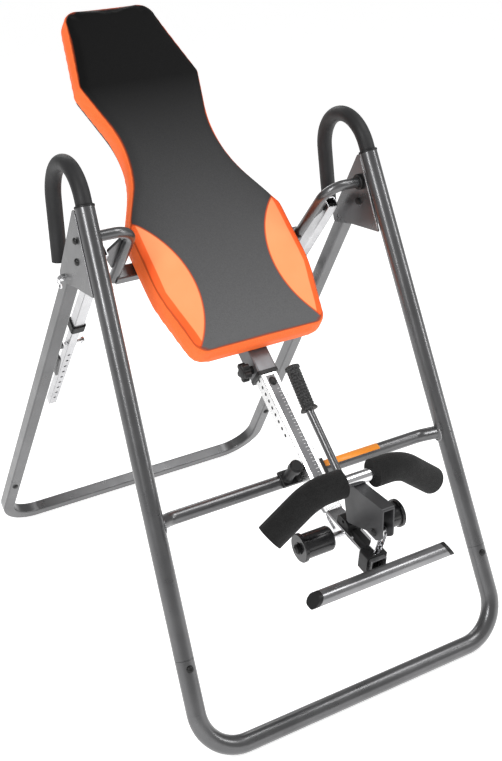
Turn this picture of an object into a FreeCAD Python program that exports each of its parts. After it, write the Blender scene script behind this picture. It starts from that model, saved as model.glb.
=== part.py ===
import FreeCAD, Part
import Sketcher
import math
import os

# Inversion table: an A-frame of round and square tube carries a tilting bed.
# The bed holds a sliding height tube with ankle rollers, a clamp lever and a foot bar.
# Frame: +X to the right along the base bars, +Y to the rear, +Z up, floor at Z = 0,
# origin on the floor under the middle of the table's bounding box.

os.makedirs("parts", exist_ok=True)
Vec = FreeCAD.Vector
doc = FreeCAD.newDocument("inversion_table")

# ---------------------------------------------------------------- driving sizes (mm, degrees)
SIZES = {
    "origin_back": 536.5,
    "front_tube": 38.1, "tube_wall": 1.8, "base_half": 361.5, "leg_narrowing": 0.0404,
    "leg_lean": 0.383, "leg_top_height": 1022, "joint_height": 206, "front_bend": 88,
    "rear_tube": 29.2, "rear_reach": 1169.9, "rear_half": 387.8, "rear_narrowing": 0.07,
    "rear_lean": 0.8, "rear_top_height": 950, "rear_joint_height": 206, "rear_bend": 92,
    "crossbar_tube": 28, "crossbar_height": 448, "crossbar_setback": 34,
    "pivot_back": 395, "pivot_height": 960, "fold_back": 402, "fold_height": 917,
    "lock_back": 486, "lock_height": 867, "cheek_plate": 2.5, "cheek_gap_half": 16.6,
    "handle_tube": 25.4, "grip_tube": 33, "handle_bend": 85, "handle_end_height": 880,
    "bed_angle": 43.6, "arm_tube": 22, "arm_half": 223, "strut_half": 272,
    "box_width": 45, "box_depth": 50, "box_top": -173, "box_wall": 2, "box_foot": -287, "box_head": 380,
    "slide_tube": 38, "slide_wall": 1.8, "slide_top": -175.5, "slide_head": 120,
    "knee_along": -615, "foot_angle": 30, "foot_tube_length": 152,
    "cushion_top": -119, "cushion_bottom": -171, "board_plate": 6,
    "roller_body": 50, "roller_flange": 58, "roller_along": 62, "roller_rise": 9,
    "pad_tube": 25.4, "pad_foam": 56, "pad_along": 65, "pad_rise": 141,
    "lever_along": 151, "lever_rise": 81, "lever_tube": 16, "lever_grip": 28,
    "foot_bar_along": 178, "foot_bar_half": 164, "strut_outer": 25, "strut_inner": 20,
}
sheet = doc.addObject("Spreadsheet::Sheet", "sizes")
for row, (alias, value) in enumerate(SIZES.items(), start=1):
    sheet.set(f"A{row}", alias)
    sheet.set(f"B{row}", str(value))
    sheet.setAlias(f"B{row}", alias)
doc.recompute()


def size(alias):
    """The value that the sheet holds for a driving size."""
    return float(sheet.get(alias))


# ---------------------------------------------------------------- frames
def frame(origin, x_axis, y_axis):
    """Placement with the given origin and local X and Y directions."""
    x_dir = Vec(*x_axis).normalize()
    z_dir = x_dir.cross(Vec(*y_axis)).normalize()
    y_dir = z_dir.cross(x_dir)
    matrix = FreeCAD.Matrix(
        x_dir.x, y_dir.x, z_dir.x, origin[0],
        x_dir.y, y_dir.y, z_dir.y, origin[1],
        x_dir.z, y_dir.z, z_dir.z, origin[2],
        0, 0, 0, 1)
    return FreeCAD.Placement(matrix)


GROUND = FreeCAD.Placement(Vec(0, -size("origin_back"), 0), FreeCAD.Rotation())
leg_tilt = math.atan(size("leg_lean"))
rear_tilt = math.atan(size("rear_lean"))
bed_tilt = math.radians(size("bed_angle"))
foot_tilt = math.radians(size("foot_angle"))
front_radius = size("front_tube") / 2
rear_half_tube = size("rear_tube") / 2
pivot = Vec(0, size("pivot_back"), size("pivot_height"))
fold = Vec(0, size("fold_back"), size("fold_height"))
along_bed = Vec(0, math.cos(bed_tilt), math.sin(bed_tilt))
off_bed = Vec(0, -math.sin(bed_tilt), math.cos(bed_tilt))

FRONT = GROUND * frame((0, 0, front_radius), (1, 0, 0), (0, math.sin(leg_tilt), math.cos(leg_tilt)))
rear_corner = 3.5
rear_rest = (rear_half_tube - rear_corner) * (math.sin(rear_tilt) + math.cos(rear_tilt)) + rear_corner
rear_rest_back = size("rear_reach") - size("rear_lean") * (rear_rest - rear_half_tube)
REAR = GROUND * frame((0, rear_rest_back, rear_rest), (1, 0, 0),
                      (0, -math.sin(rear_tilt), math.cos(rear_tilt)))
BED = GROUND * frame(pivot, (1, 0, 0), along_bed)
slide_middle = size("slide_top") - size("slide_tube") / 2
FOOT = BED * FreeCAD.Placement(Vec(0, size("knee_along"), slide_middle),
                               FreeCAD.Rotation(Vec(1, 0, 0), -size("foot_angle")))
SIDE = frame((0, 0, 0), (0, 1, 0), (0, 0, 1))


def shift(x=0, y=0, z=0):
    return FreeCAD.Placement(Vec(x, y, z), FreeCAD.Rotation())


def side_of(base, x):
    """A sketch plane across X in a base frame: local X runs along base Y, local Y along base Z."""
    return base * shift(x) * SIDE


def leg_x(height):
    return size("base_half") - size("leg_narrowing") * (height - front_radius)


def leg_y(height):
    return size("leg_lean") * (height - front_radius)


def rear_x(height):
    return size("rear_half") - size("rear_narrowing") * (height - rear_half_tube)


def rear_y(height):
    return size("rear_reach") - size("rear_lean") * (height - rear_half_tube)


# ---------------------------------------------------------------- sketch helpers
def new_body(label, placement):
    body = doc.addObject("PartDesign::Body", label)
    body.Label = label
    body.Placement = placement
    return body


def new_sketch(body, name, offset=None):
    sketch = body.newObject("Sketcher::SketchObject", name)
    plane = next(f for f in body.Origin.OriginFeatures if f.Role == "XY_Plane")
    sketch.AttachmentSupport = [(plane, "")]
    sketch.MapMode = "FlatFace"
    if offset is not None:
        sketch.AttachmentOffset = offset
    return sketch


def rounded(points, radii, closed):
    """Edges through the points, each corner rounded by its own tangent arc."""
    count = len(points)
    flat = [Vec(p[0], p[1], 0) for p in points]
    cuts = []
    for i in range(count):
        radius = radii[i] if closed or 0 < i < count - 1 else 0
        if radius == 0:
            cuts.append((flat[i], flat[i], None))
            continue
        back = (flat[i - 1] - flat[i]).normalize()
        ahead = (flat[(i + 1) % count] - flat[i]).normalize()
        half = back.getAngle(ahead) / 2
        reach = radius / math.tan(half)
        middle = (back + ahead).normalize() * (radius / math.sin(half) - radius)
        cuts.append((flat[i] + back * reach, flat[i] + ahead * reach, flat[i] + middle))
    edges = []
    for i in range(count):
        if cuts[i][2] is not None:
            edges.append(Part.Arc(cuts[i][0], cuts[i][2], cuts[i][1]))
        if i < count - 1 or closed:
            start, end = cuts[i][1], cuts[(i + 1) % count][0]
            if (end - start).Length > 1e-6:
                edges.append(Part.LineSegment(start, end))
    return edges


def loop(sketch, points, radii=None):
    sketch.addGeometry(rounded(points, radii or [0] * len(points), True), False)


def circle(sketch, x, y, diameter):
    """A circle whose diameter follows the sheet when it is given as an expression."""
    value = diameter if not isinstance(diameter, str) else 1
    index = sketch.addGeometry(Part.Circle(Vec(x, y, 0), Vec(0, 0, 1), value / 2), False)
    place = sketch.addConstraint(Sketcher.Constraint("DistanceX", index, 3, x))
    sketch.addConstraint(Sketcher.Constraint("DistanceY", index, 3, y))
    width = sketch.addConstraint(Sketcher.Constraint("Diameter", index, value))
    if isinstance(diameter, str):
        sketch.renameConstraint(width, f"diameter_{place}")
        sketch.setExpression(f"Constraints.diameter_{place}", diameter)


def square(sketch, width, height, corner):
    half_w, half_h = width / 2, height / 2
    loop(sketch, [(-half_w, -half_h), (half_w, -half_h), (half_w, half_h), (-half_w, half_h)], [corner] * 4)


# ---------------------------------------------------------------- piece makers
def plate(label, placement, thickness, points, radii=None, holes=(), offset=0):
    """A flat piece: an outline in the local XY plane, thickened both ways about it."""
    body = new_body(label, placement * shift(z=offset))
    sketch = new_sketch(body, label + "_outline")
    loop(sketch, points, radii)
    for x, y, diameter in holes:
        circle(sketch, x, y, diameter)
    pad = body.newObject("PartDesign::Pad", label + "_pad")
    pad.Profile = sketch
    pad.Midplane = True
    if isinstance(thickness, str):
        pad.setExpression("Length", thickness)
    else:
        pad.Length = thickness
    return body


def turned(label, placement, profile):
    """A round piece: (along, radius) points turned about the local X axis."""
    body = new_body(label, placement)
    sketch = new_sketch(body, label + "_profile")
    loop(sketch, profile)
    turn = body.newObject("PartDesign::Revolution", label + "_turn")
    turn.Profile = sketch
    turn.ReferenceAxis = (sketch, ["H_Axis"])
    turn.Angle = 360
    return body


def swept(label, placement, points, bend, draw_section):
    """A tube or bar: a section carried along a bent path in the local XY plane."""
    body = new_body(label, placement)
    spine = new_sketch(body, label + "_path")
    edges = rounded(points, [bend] * len(points), False)
    spine.addGeometry(edges, False)
    start = Vec(points[0][0], points[0][1], 0)
    heading = (Vec(points[1][0], points[1][1], 0) - start).normalize()
    across = FreeCAD.Placement(start, frame((0, 0, 0), Vec(0, 0, 1).cross(heading), Vec(0, 0, 1)).Rotation)
    section = new_sketch(body, label + "_section", across)
    draw_section(section)
    pipe = body.newObject("PartDesign::AdditivePipe", label + "_pipe")
    pipe.Profile = (section, [""])
    pipe.Spine = (spine, [f"Edge{i + 1}" for i in range(len(edges))])
    return body


def round_tube(outer, wall=None):
    def draw(sketch):
        circle(sketch, 0, 0, outer)
        if wall is not None:
            inner = f"{outer} - 2 * {wall}" if isinstance(outer, str) else outer - 2 * wall
            circle(sketch, 0, 0, inner)
    return draw


def square_tube(width, height, wall=None, corner=3):
    def draw(sketch):
        square(sketch, width, height, corner)
        if wall is not None:
            square(sketch, width - 2 * wall, height - 2 * wall, corner - wall if corner > wall else 0.5)
    return draw


def cut(label, base, tools):
    """The base with the tools taken away, in a new object that carries the label."""
    fused = tools[0]
    if len(tools) > 1:
        fused = doc.addObject("Part::MultiFuse", label + "_tools")
        fused.Shapes = tools
    result = doc.addObject("Part::Cut", label)
    result.Base = base
    result.Tool = fused
    result.Label = label
    return result


def group(label, members):
    result = doc.addObject("Part::Compound", label)
    result.Links = members
    result.Label = label
    return result


def cylinder(label, placement, diameter, length):
    """A round cutter or pin centred on the placement, its axis along the local X axis."""
    rod = doc.addObject("Part::Cylinder", label)
    rod.Radius = diameter / 2
    rod.Height = length
    rod.Placement = placement * frame((-length / 2, 0, 0), (0, 1, 0), (0, 0, 1))
    return rod


sub_parts = []


def keep(obj):
    sub_parts.append(obj)
    return obj


def keep_pair(label, members):
    """Left and right pieces of one kind, kept together as separate solids of one sub-part."""
    return keep(group(label, members))


SIDES = (("left", -1), ("right", 1))
HEAD_HEIGHT = 4.5


def dome_bolt(label, placement, diameter, length, nut_end=True):
    """A button-head bolt along local X: head at the low end, nut at the high end."""
    head = diameter * 0.95
    shank = diameter / 2
    low, high = -length / 2, length / 2
    profile = [(low - HEAD_HEIGHT, 0), (low - HEAD_HEIGHT, head * 0.45), (low - HEAD_HEIGHT * 0.6, head * 0.85),
               (low, head), (low, shank)]
    if nut_end:
        profile += [(high, shank), (high, head), (high + HEAD_HEIGHT, head * 0.9), (high + HEAD_HEIGHT, 0)]
    else:
        profile += [(high, shank), (high, 0)]
    return turned(label, placement, profile)


# ---------------------------------------------------------------- front frame
def front_path_point(side, height):
    """A leg axis point in the front frame's own plane."""
    rise = (height - front_radius) / math.cos(leg_tilt)
    return (side * leg_x(height), rise)


front_section = round_tube("sizes.front_tube", "sizes.tube_wall")
joint = size("joint_height")
joint_gap = 0.6
drill = 8.6
bolt = 8


def crosswise(base, x, along):
    """Placement of a bolt through a planar frame: local X runs from the front face to the back."""
    return base * frame((x, along, 0), (0, 0, -1), (1, 0, 0))


base_path = [front_path_point(-1, joint), (-size("base_half"), 0), (size("base_half"), 0),
             front_path_point(1, joint)]
base_blank = swept("front_base_blank", FRONT, base_path, size("front_bend"), front_section)
joint_bolt_drop = 17
joint_rise = base_path[0][1]
front_bolt_places = [crosswise(FRONT, side * leg_x(joint), joint_rise - joint_bolt_drop) for _, side in SIDES]
front_drills = [cylinder(f"front_drill_{i}", place, drill, 60) for i, place in enumerate(front_bolt_places)]
keep(cut("front_base_tube", base_blank, front_drills))
legs = []
for name, side in SIDES:
    path = [front_path_point(side, joint + joint_gap), front_path_point(side, size("leg_top_height"))]
    legs.append(swept(f"front_leg_{name}", FRONT, path, 0, front_section))
keep_pair("front_legs", legs)

sleeve_outer = size("front_tube") - 2 * size("tube_wall") - 0.3
sleeve_reach = 40
sleeves = []
for name, side in SIDES:
    low = front_path_point(side, joint - sleeve_reach)
    high = front_path_point(side, joint + sleeve_reach)
    sleeves.append(swept(f"sleeve_{name}", FRONT, [low, high], 0, round_tube(sleeve_outer, 2)))
keep(cut("leg_joint_sleeves", group("sleeve_pair", sleeves), front_drills[:]))
keep(group("front_joint_bolts", [dome_bolt(f"front_joint_bolt_{i}", place, bolt, size("front_tube"))
                                 for i, place in enumerate(front_bolt_places)]))

bar_base = FRONT * frame((0, (size("crossbar_height") - front_radius) / math.cos(leg_tilt), 0),
                         (1, 0, 0), (0, 0, -1))
bar_end = leg_x(size("crossbar_height"))
bar_shoulder = bar_end - 42
bar_set = size("crossbar_setback")
bar_blank = swept("crossbar_blank", bar_base,
                  [(-bar_end, 0), (-bar_shoulder, bar_set), (bar_shoulder, bar_set), (bar_end, 0)], 40,
                  round_tube("sizes.crossbar_tube", "sizes.tube_wall"))
leg_fit = 0.1


def leg_axis(side, height):
    """Placement on a front leg's axis: local X runs up the leg."""
    direction = Vec(-side * size("leg_narrowing"), size("leg_lean"), 1)
    return GROUND * frame((side * leg_x(height), leg_y(height), height), direction, (1, 0, 0))


bar_copes = [cylinder(f"bar_cope_{name}", leg_axis(side, size("crossbar_height")),
                      size("front_tube") + leg_fit, 120) for name, side in SIDES]
keep(cut("crossbar", bar_blank, bar_copes))

# ---------------------------------------------------------------- rest cradle on the crossbar
bar_middle = bar_base.multVec(Vec(0, bar_set, 0))
bar_in_bed = BED.inverse().multVec(bar_middle)
CRADLE = BED * shift(0, bar_in_bed.y, 0)
bar_radius = size("crossbar_tube") / 2
tube_under = size("slide_top") - size("slide_tube")
bumper_top = tube_under - 0.4
saddle_plate = 4
saddle_low = bar_in_bed.z + bar_radius * 0.55
saddle_high = bar_in_bed.z + bar_radius + 3
saddle_half = 54
saddle_blank = plate("saddle_blank", CRADLE * frame((0, 0, 0), (1, 0, 0), (0, 0, 1)), 34,
                     [(-saddle_half, saddle_low), (saddle_half, saddle_low),
                      (saddle_half, saddle_high), (-saddle_half, saddle_high)], [2, 2, 3, 3])
bar_round = cylinder("bar_round", CRADLE * shift(0, 0, bar_in_bed.z), size("crossbar_tube") + leg_fit, 160)
keep(cut("rest_saddle", saddle_blank, [bar_round]))
bumper_half = 21
keep(plate("rest_bumper", CRADLE * frame((0, 0, 0), (1, 0, 0), (0, 0, 1)), 30,
           [(-bumper_half, saddle_high), (bumper_half, saddle_high),
            (bumper_half - 2, bumper_top), (-bumper_half + 2, bumper_top)], [0, 0, 3, 3]))
post_height = 62
post_centre = -39
stand = CRADLE * frame((post_centre, 0, saddle_high), (0, 0, 1), (1, 0, 0))
keep(turned("rest_post", stand,
            [(0, 0), (0, 13), (4, 11), (post_height - 22, 11), (post_height - 19, 14),
             (post_height - 4, 14), (post_height, 10.5), (post_height, 0)]))

# ---------------------------------------------------------------- side brackets, handles and grips
bracket_height = 945


def bracket_frame(side):
    """Side plane through a front leg's axis, leaning in with the leg."""
    up = (-side * size("leg_narrowing"), 0, 1)
    return GROUND * frame((side * leg_x(bracket_height), 0, bracket_height), (0, 1, 0), up)


def bracket_point(y, z):
    return (y, z - bracket_height)


cheek_low = 862
cheek_high = 1018
cheek_lap = 8
cheek_outline = [bracket_point(leg_y(cheek_low) + cheek_lap, cheek_low), bracket_point(432, 860),
                 bracket_point(504, 852), bracket_point(508, 872), bracket_point(402, cheek_high),
                 bracket_point(leg_y(cheek_high) + cheek_lap, cheek_high)]
bushing_hole = 26.4
UPRIGHT = frame((0, 0, 0), (0, 1, 0), (0, 0, 1))
cheek_drillings = [("fold", drill, drill), ("lock", drill, drill), ("pivot", drill, bushing_hole)]
cheek_offset = size("cheek_gap_half") + size("cheek_plate") / 2
brackets = []
for name, side in SIDES:
    cheeks = []
    for face, sign in (("outer", side), ("inner", -side)):
        drop = cheek_offset * size("leg_narrowing") if face == "outer" else 0
        plane = bracket_frame(side) if face == "outer" else GROUND * shift(side * leg_x(bracket_height), 0,
                                                                           bracket_height) * UPRIGHT
        holes = []
        for axis, outer_hole, inner_hole in cheek_drillings:
            y, z = bracket_point(size(f"{axis}_back"), size(f"{axis}_height"))
            holes.append((y, z - drop, outer_hole if face == "outer" else inner_hole))
        cheeks.append(plate(f"cheek_{name}_{face}", plane, "sizes.cheek_plate", cheek_outline,
                            [3, 3, 8, 6, 10, 3], holes, sign * cheek_offset))
    leg_round = cylinder(f"cheek_cope_{name}", leg_axis(side, bracket_height), size("front_tube") + leg_fit, 260)
    brackets.append(cut(f"side_bracket_{name}", group(f"cheeks_{name}", cheeks), [leg_round]))
keep_pair("side_brackets", brackets)


def across(y, z, x=0):
    """Placement for a round piece along X at a point of the side view."""
    return GROUND * shift(x, y, z)


stack_outer = 2 * (cheek_offset + size("cheek_plate") / 2)
nut_side_room = 1.4
fold_bolts = []
for name, side in SIDES:
    centre = leg_x(size("fold_height"))
    spot = GROUND * frame((side * (centre - nut_side_room / 2), fold.y, fold.z), (-side, 0, 0), (0, 1, 0))
    fold_bolts.append(dome_bolt(f"fold_bolt_{name}", spot, bolt, stack_outer + 0.8 + nut_side_room))
keep(group("fold_bolts", fold_bolts))

bushing_bore = size("arm_tube") + 0.1
bushings = []
for name, side in SIDES:
    inner_face = leg_x(size("pivot_height")) - cheek_offset
    seat = GROUND * frame((side * inner_face, pivot.y, pivot.z), (side, 0, 0), (0, 1, 0))
    bushings.append(turned(f"bushing_{name}", seat,
                           [(-9, bushing_bore / 2), (-9, 15.5), (-7.5, 17), (-3, 17), (-3, 13), (12, 13),
                            (12, bushing_bore / 2)]))
keep(group("pivot_bushings", bushings))

handle_back = 555
handle_corner = (handle_back, size("leg_top_height") + (handle_back - leg_y(size("leg_top_height")))
                 / size("leg_lean"))
insert_height = 972
collar_length = 5


def handle_path(start_height, end_height):
    return [bracket_point(leg_y(start_height), start_height), bracket_point(*handle_corner),
            bracket_point(handle_back, end_height)]


grip_start = size("leg_top_height") + collar_length
end_cover = 6
handle_tubes = []
foam_grips = []
for name, side in SIDES:
    plane = bracket_frame(side)
    bend = size("handle_bend")
    low_end = size("handle_end_height")
    handle_tubes.append(swept(f"handle_tube_{name}", plane, handle_path(insert_height, low_end + end_cover),
                              bend, round_tube("sizes.handle_tube", "sizes.tube_wall")))
    foam = swept(f"foam_{name}", plane, handle_path(grip_start, low_end), bend, round_tube("sizes.grip_tube"))
    core = swept(f"foam_core_{name}", plane, handle_path(insert_height, low_end + end_cover - 0.2), bend,
                 round_tube("sizes.handle_tube"))
    foam_grips.append(cut(f"foam_grip_{name}", foam, [core]))
keep_pair("handle_tubes", handle_tubes)
keep_pair("foam_grips", foam_grips)
collars = []
for name, side in SIDES:
    seat = leg_axis(side, size("leg_top_height"))
    collars.append(turned(f"collar_{name}", seat,
                          [(0, 12.8), (0, 19.4), (1, 20.2), (collar_length - 1.2, 20.2),
                           (collar_length - 0.1, 19), (collar_length - 0.1, 12.8)]))
keep(group("handle_collars", collars))

# ---------------------------------------------------------------- fold lock pins
pin_rod = 8
for name, side in SIDES:
    wall = leg_x(size("lock_height")) + cheek_offset - size("cheek_plate") / 2
    spot = GROUND * frame((side * wall, size("lock_back"), size("lock_height")), (side, 0, 0), (0, side, 0))
    body_of_pin = turned(f"lock_body_{name}", spot,
                         [(0.2, 0), (0.2, pin_rod / 2), (2.95, pin_rod / 2), (2.95, 7), (8, 7), (9, 5.5),
                          (12, 5.5), (13.5, 3.5), (13.5, 0)])
    ring = doc.addObject("Part::Torus", f"lock_ring_{name}")
    ring.Radius1 = 11
    ring.Radius2 = 1.4
    ring.Placement = spot * FreeCAD.Placement(Vec(13.5, 0, -9.5), FreeCAD.Rotation(Vec(0, 1, 0), 8)) \
        * FreeCAD.Placement(Vec(0, 0, 0), FreeCAD.Rotation(Vec(0, 1, 0), 90))
    pin = doc.addObject("Part::MultiFuse", f"lock_pin_{name}")
    pin.Shapes = [body_of_pin, ring]
    pin.Label = f"lock_pin_{name}"
    keep(pin)

# ---------------------------------------------------------------- rear frame
def rear_path_point(side, height):
    rise = (height - rear_rest) / math.cos(rear_tilt)
    return (side * rear_x(height), rise)


rear_wall = 2
rear_section = square_tube(size("rear_tube"), size("rear_tube"), rear_wall, rear_corner)
rear_joint = size("rear_joint_height")
rear_blank = swept("rear_base_blank", REAR,
                   [rear_path_point(-1, rear_joint + 8), (-rear_x(rear_rest), 0), (rear_x(rear_rest), 0),
                    rear_path_point(1, rear_joint + 8)], size("rear_bend"), rear_section)
notch = 8
notch_half = 22


def notch_cutter(label, side, upward):
    """A cutter above or below the V-shaped seam between the rear base and a rear leg."""
    x, rise = rear_path_point(side, rear_joint)
    edge = joint_gap / 2 * (-1 if upward else 1)
    far = rise + (60 if upward else -60)
    return plate(label, REAR, 60,
                 [(x - notch_half, rise + notch + edge), (x, rise - notch / 2 + edge),
                  (x + notch_half, rise + notch + edge), (x + notch_half, far), (x - notch_half, far)])


rear_bolt_places = [crosswise(REAR, side * rear_x(rear_joint - 22), rear_path_point(side, rear_joint - 22)[1])
                    for _, side in SIDES]
rear_drills = [cylinder(f"rear_drill_{i}", place, drill, 50) for i, place in enumerate(rear_bolt_places)]
keep(cut("rear_base_tube", rear_blank,
         [notch_cutter(f"seam_top_{name}", side, True) for name, side in SIDES] + rear_drills))
keep(group("rear_joint_bolts", [dome_bolt(f"rear_joint_bolt_{i}", place, bolt, size("rear_tube"))
                                for i, place in enumerate(rear_bolt_places)]))
rear_legs = []
for name, side in SIDES:
    leg = swept(f"rear_leg_blank_{name}", REAR,
                [rear_path_point(side, rear_joint - 12), rear_path_point(side, size("rear_top_height"))], 0,
                rear_section)
    lock_hole = cylinder(f"rear_lock_hole_{name}",
                         across(size("lock_back"), size("lock_height"), side * rear_x(size("lock_height"))),
                         drill, 60)
    rear_legs.append(cut(f"rear_leg_{name}", leg, [notch_cutter(f"seam_low_{name}", side, False), lock_hole]))
keep_pair("rear_legs", rear_legs)

leg_dir = Vec(0, -math.sin(rear_tilt), math.cos(rear_tilt))
leg_out = Vec(0, math.cos(rear_tilt), math.sin(rear_tilt))
axis_point = Vec(0, rear_y(fold.z), fold.z)
lug_reach = (axis_point - fold).dot(leg_out) - rear_half_tube
lug_plate = 4
all_lugs = []
for name, side in SIDES:
    lean_in = Vec(-side * size("rear_narrowing"), 0, 0) * leg_dir.z
    lug_plane = GROUND * frame((side * rear_x(fold.z + 20), fold.y, fold.z), leg_out, leg_dir + lean_in)
    lugs = [plate(f"lug_{name}_{i}", lug_plane, lug_plate,
                  [(lug_reach, -30), (lug_reach, 16), (0, 13), (-13, 13), (-13, -13), (0, -16)],
                  [0, 0, 6, 10, 10, 6], [(0, 0, drill + 1)], offset)
            for i, offset in enumerate((-9, 9))]
    all_lugs += lugs
keep(group("rear_hinge_lugs", all_lugs))

# ---------------------------------------------------------------- tilting bed
arm_top = 339
arm_low_along = 10
arm_low = -198
arm_bend = 42
arms = []
for name, side in SIDES:
    plane = BED * frame((0, 0, 0), (1, 0, 0), (0, arm_low_along, arm_low))
    depth = math.hypot(arm_low_along, arm_low)
    arm = swept(f"pivot_arm_blank_{name}", plane,
                [(side * arm_top, 0), (side * size("arm_half"), 0), (side * size("arm_half"), depth)],
                arm_bend, round_tube("sizes.arm_tube"))
    bolt_bore = cylinder(f"arm_bore_{name}", BED * shift(side * arm_top, 0, 0), drill, 54)
    arms.append(cut(f"pivot_arm_{name}", arm, [bolt_bore]))
keep_pair("pivot_arms", arms)
pivot_bolts = []
for name, side in SIDES:
    spot = BED * frame((side * (arm_top + 1), 0, 0), (-side, 0, 0), (0, 1, 0))
    pivot_bolts.append(turned(f"pivot_bolt_{name}", spot,
                              [(-9.5, 0), (-9.5, 3.5), (-7, 6.4), (-5, 7.4), (-5, bolt / 2),
                               (24, bolt / 2), (24, 0)]))
keep(group("pivot_bolts", pivot_bolts))

half_box = size("box_width") / 2
cross_width = 32
cross_height = 24
cross_n = -186
cross_ends = []
for name, side in SIDES:
    beam = swept(f"cross_beam_{name}", BED * shift(0, arm_low_along, cross_n),
                 [(side * half_box, 0), (side * size("arm_half"), 0)], 0,
                 square_tube(cross_width, cross_height, 2, 4))
    arm_spot = (side * size("arm_half"), arm_low_along * cross_n / arm_low, cross_n)
    cope = cylinder(f"cross_cope_{name}", BED * frame(arm_spot, (0, arm_low_along, arm_low), (1, 0, 0)),
                    size("arm_tube") + leg_fit, 60)
    cross_ends.append(cut(f"cross_end_{name}", beam, [cope]))
keep(group("bed_cross_tubes", cross_ends))

box_middle = size("box_top") - size("box_depth") / 2
box_wall = size("box_wall")
keep(swept("bed_main_tube", BED * shift(0, 0, box_middle),
           [(0, size("box_foot")), (0, size("box_head"))], 0,
           square_tube(size("box_width"), size("box_depth"), box_wall, 4)))


def slide_hole(label, low, high, clearance):
    """A cutter for the height tube's passage, running along the bed."""
    width = size("slide_tube") + 2 * clearance
    return swept(label, BED * shift(0, 0, slide_middle), [(0, low), (0, high)], 0,
                 square_tube(width, width, None, 3.5))


collar_out = size("box_foot") - 8
collar_in = size("box_foot") + 55
cap_rim = swept("cap_rim", BED * shift(0, 0, box_middle), [(0, collar_out), (0, size("box_foot"))], 0,
                square_tube(size("box_width") + 2, size("box_depth") + 2, None, 5))
cap_core = swept("cap_core", BED * shift(0, 0, box_middle), [(0, size("box_foot")), (0, collar_in)], 0,
                 square_tube(size("box_width") - 2 * box_wall - 0.2, size("box_depth") - 2 * box_wall - 0.2,
                             None, 2))
cap = doc.addObject("Part::MultiFuse", "cap_whole")
cap.Shapes = [cap_rim, cap_core]
keep(cut("box_end_collar", cap, [slide_hole("cap_passage", collar_out - 5, collar_in + 5, 0.35)]))

# Half outline of the backrest: (x, along the bed, corner radius), head end first.
BACKREST = [(107, 663, 40), (150.5, 447, 10), (99, 243, 277), (186, 66, 40), (186, -91, 400),
            (151.5, -242, 35)]


def backrest_outline(inset):
    """The whole outline, drawn in from the edge by about the inset."""
    width_scale = 1 - inset / 186
    length_scale = 1 - inset / 450
    middle = 210
    half = [(x * width_scale, middle + (u - middle) * length_scale, r) for x, u, r in BACKREST]
    whole = half + [(-x, u, r) for x, u, r in reversed(half)]
    return [(x, u) for x, u, r in whole], [r for x, u, r in whole]


board = size("board_plate")
cushion_low = size("box_top") + board
cushion_high = size("cushion_top")
outline, radii = backrest_outline(0)
cushion = plate("backrest_cushion", BED * shift(0, 0, (cushion_low + cushion_high) / 2),
                cushion_high - cushion_low, outline, radii)
cushion.recompute(True)
doc.recompute()
cushion_pad = doc.getObject("backrest_cushion_pad")
half_depth = (cushion_high - cushion_low) / 2
top_edges = [f"Edge{i + 1}" for i, edge in enumerate(cushion_pad.Shape.Edges)
             if edge.CenterOfMass.z > half_depth - 1]
round_over = cushion.newObject("PartDesign::Fillet", "cushion_round")
round_over.Base = (cushion_pad, top_edges)
round_over.Radius = 8
keep(cushion)
outline, radii = backrest_outline(7)
board_bolts = [(0, 320), (0, 40), (-60, arm_low_along), (60, arm_low_along)]
keep(plate("backrest_board", BED * shift(0, 0, size("box_top") + board / 2), board, outline, radii,
           [(x, u, drill) for x, u in board_bolts]))

strut_pin = (13, -95)
tab_plate = 6
strut_half = size("strut_half")
tab_inner = size("arm_half")
tab_outer = strut_half - 15
tabs = []
for name, side in SIDES:
    tab = plate(f"tab_blank_{name}", BED * frame((0, strut_pin[0], 0), (side, 0, 0), (0, 0, 1)), tab_plate,
                [(tab_inner, -48), (tab_inner + 14, -48), (tab_outer, -82), (tab_outer, -108),
                 (tab_inner + 14, -150), (tab_inner, -150)], [0, 4, 6, 6, 4, 0])
    arm_round = cylinder(f"tab_cope_{name}", BED * shift(side * tab_inner, 0, 0)
                         * frame((0, 0, 0), (0, arm_low_along, arm_low), (1, 0, 0)),
                         size("arm_tube") + leg_fit, 500)
    tabs.append(cut(f"strut_tab_{name}", tab, [arm_round]))
keep(group("strut_tabs", tabs))
pins = []
for name, side in SIDES:
    spot = BED * frame((side * tab_outer, strut_pin[0], strut_pin[1]), (side, 0, 0), (0, 1, 0))
    pins.append(turned(f"strut_pin_{name}", spot,
                       [(0, 0), (0, 8), (2, 8), (2, 5), (27.8, 5), (27.8, 9), (31, 8.4), (33, 5), (33, 0)]))
keep(group("strut_pins", pins))

# ---------------------------------------------------------------- spring knob on the box tube
knob_along = -272
knob_spot = BED * frame((-half_box, knob_along, slide_middle), (-1, 0, 0), (0, 1, 0))
knob_hole = 10
knob_cut = cylinder("knob_hole", knob_spot * shift(-1), knob_hole + 0.6, 12)
box_blank = sub_parts.pop(next(i for i, obj in enumerate(sub_parts) if obj.Label == "bed_main_tube"))
box_blank.Label = "bed_main_tube_blank"
keep(cut("bed_main_tube", box_blank, [knob_cut]))
collar_blank = sub_parts.pop(next(i for i, obj in enumerate(sub_parts) if obj.Label == "box_end_collar"))
collar_blank.Label = "box_end_collar_blank"
keep(cut("box_end_collar", collar_blank, [cylinder("knob_hole_inside", knob_spot * shift(-2), 11, 16)]))
lobes = 5
knob_core = turned("knob_core", knob_spot,
                   [(-3, 0), (-3, knob_hole / 2), (0.3, knob_hole / 2), (0.3, 9), (10, 9), (10, 14), (24, 15),
                    (27, 11), (28, 0)])
knob_parts = [knob_core]
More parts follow.
